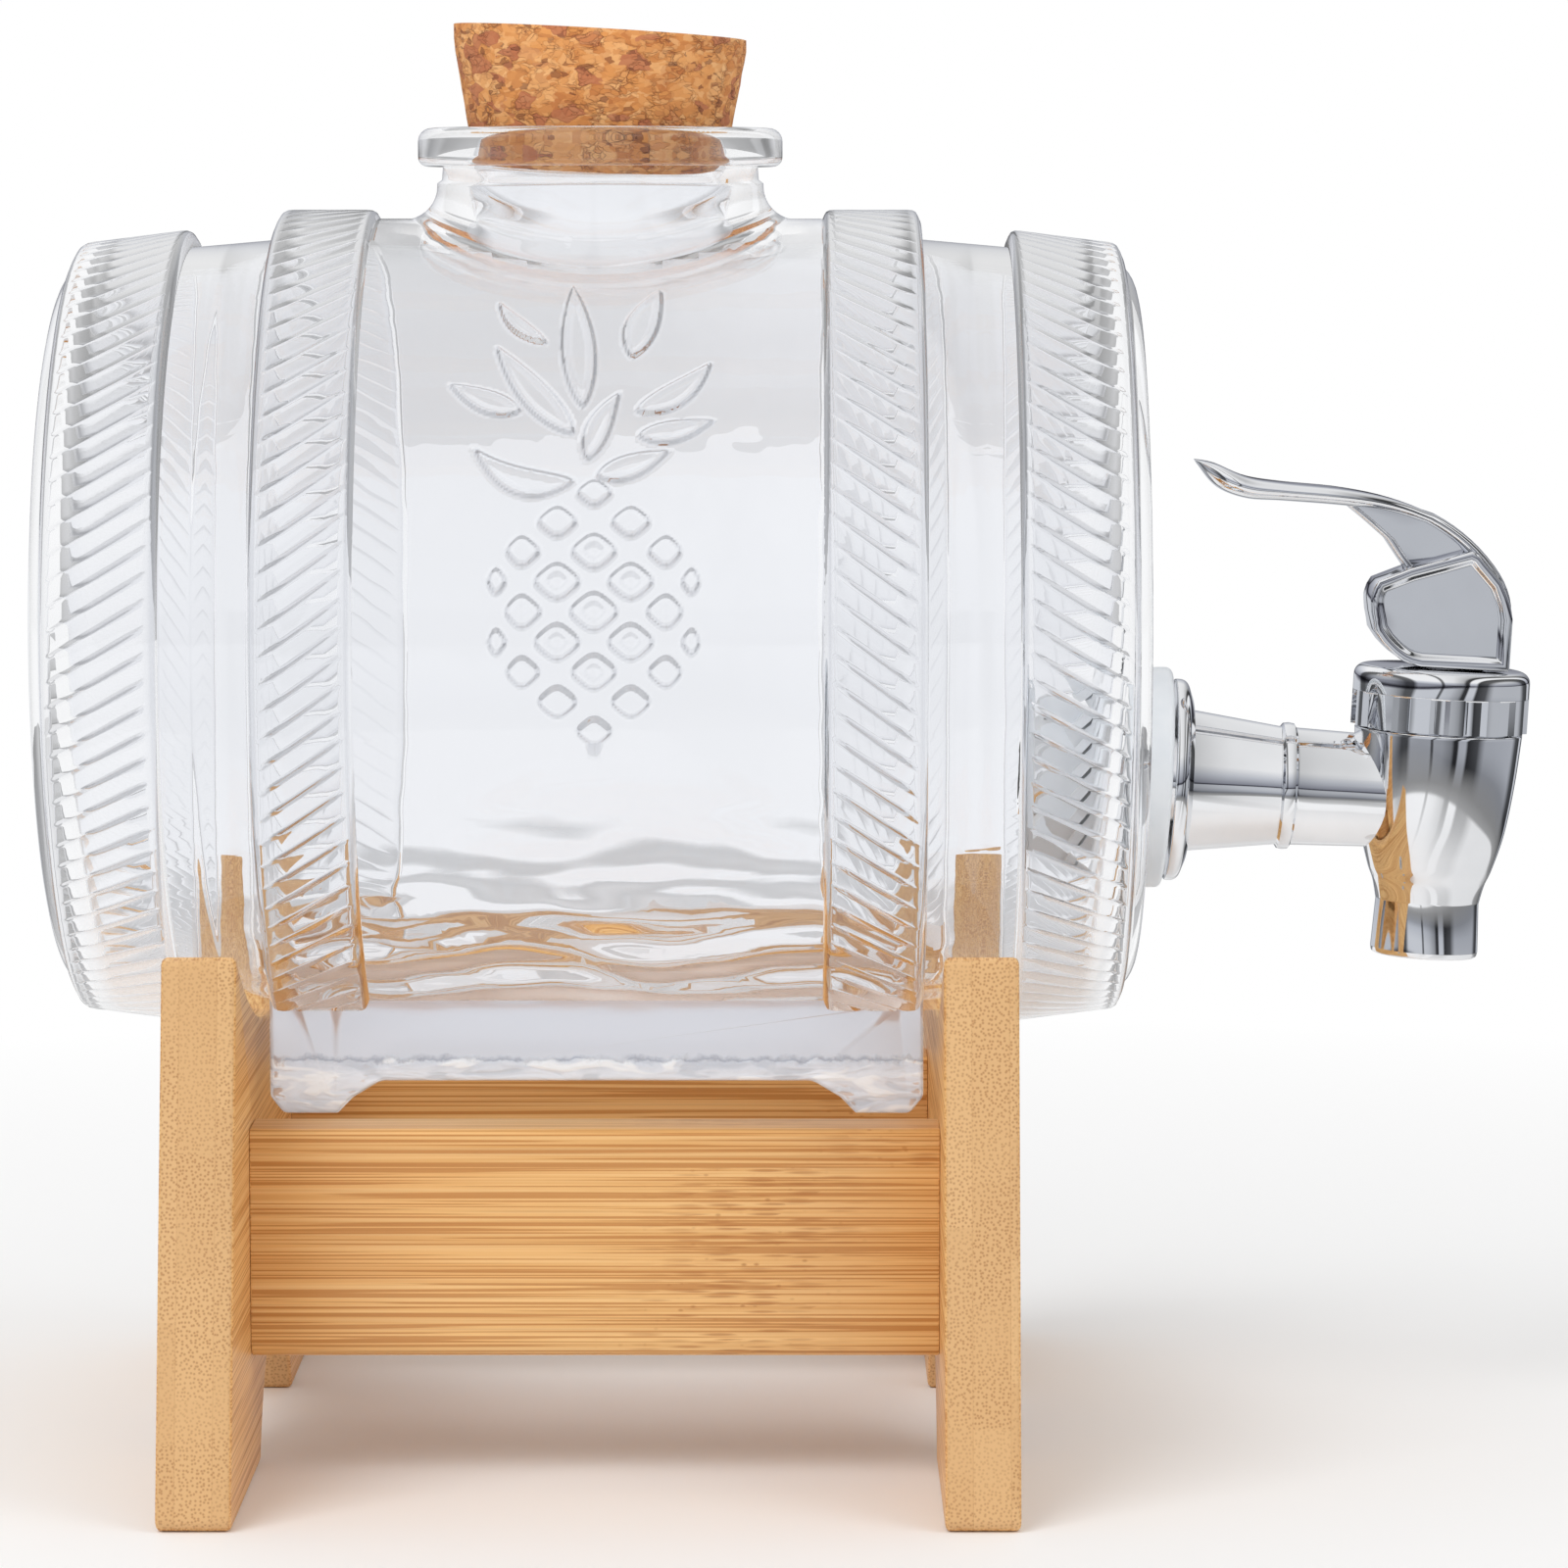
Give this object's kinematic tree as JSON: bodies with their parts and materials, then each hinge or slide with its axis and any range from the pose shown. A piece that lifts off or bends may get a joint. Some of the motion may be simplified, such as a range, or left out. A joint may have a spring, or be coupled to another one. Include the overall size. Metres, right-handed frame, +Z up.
{
  "type": "glass wine dispenser",
  "caption": "Clear glass barrel with a cork stopper and a chrome lever tap, lying on a bamboo cradle stand.",
  "frame": {"origin": "middle of the whole outline seen from above, on the plane that the four feet stand on", "axes": "+X along the barrel, the way the tap points; +Y away from the side in the picture; +Z up"},
  "size_m": [0.2472, 0.165, 0.2386],
  "materials": {
    "glass": "clear pressed glass",
    "chrome": "polished chrome plating",
    "bamboo": "laminated bamboo, satin lacquer",
    "cork": "agglomerated cork, matt",
    "silicone": "milky translucent silicone",
    "steel": "plain stainless steel",
    "rubber": "black rubber"
  },
  "bodies": {
    "stand": {"end_board_left": "bamboo", "end_board_right": "bamboo", "stretcher_front": "bamboo", "stretcher_back": "bamboo", "screw_left_1": "steel", "screw_left_2": "steel", "screw_left_3": "steel", "screw_left_4": "steel", "screw_right_1": "steel", "screw_right_2": "steel", "screw_right_3": "steel", "screw_right_4": "steel"},
    "barrel": {"glass_barrel": "glass", "outer_washer": "silicone", "inner_washer": "silicone", "lock_nut": "silicone", "tap_body": "chrome", "bonnet": "chrome", "bonnet_gasket": "silicone", "stem_ring": "rubber", "valve_spring": "steel"},
    "cork": {"cork_stopper": "cork"},
    "stem": {"valve_stem": "steel", "valve_plug": "silicone", "lever_pin": "steel"},
    "lever": {"lever": "chrome"}
  },
  "joints": [
    {"name": "barrel_lift", "type": "slide", "parent": "stand", "child": "barrel", "axis": [0, 0, 1], "range_m": [0, 0.12]},
    {"name": "cork_pull", "type": "slide", "parent": "barrel", "child": "cork", "axis": [0, 0, 1], "range_m": [0, 0.03]},
    {"name": "stem_lift", "type": "slide", "parent": "barrel", "child": "stem", "axis": [0.0558, 0, 0.9984], "range_m": [0, 0.0023], "stiffness_N_per_m": 40, "springref_m": 0.0145, "deforming": ["valve_spring"]},
    {"name": "lever_press", "type": "hinge", "parent": "stem", "child": "lever", "pos_m": [0.10913, 0, 0.13678], "axis": [0, -1, 0], "range_deg": [0, 30], "stiffness_Nm_per_rad": 0.4, "springref_deg": -11.46}
  ],
  "couplings": [
    {"joint": "stem_lift", "follows": "lever_press", "m_per_rad": 0.0042}
  ]
}
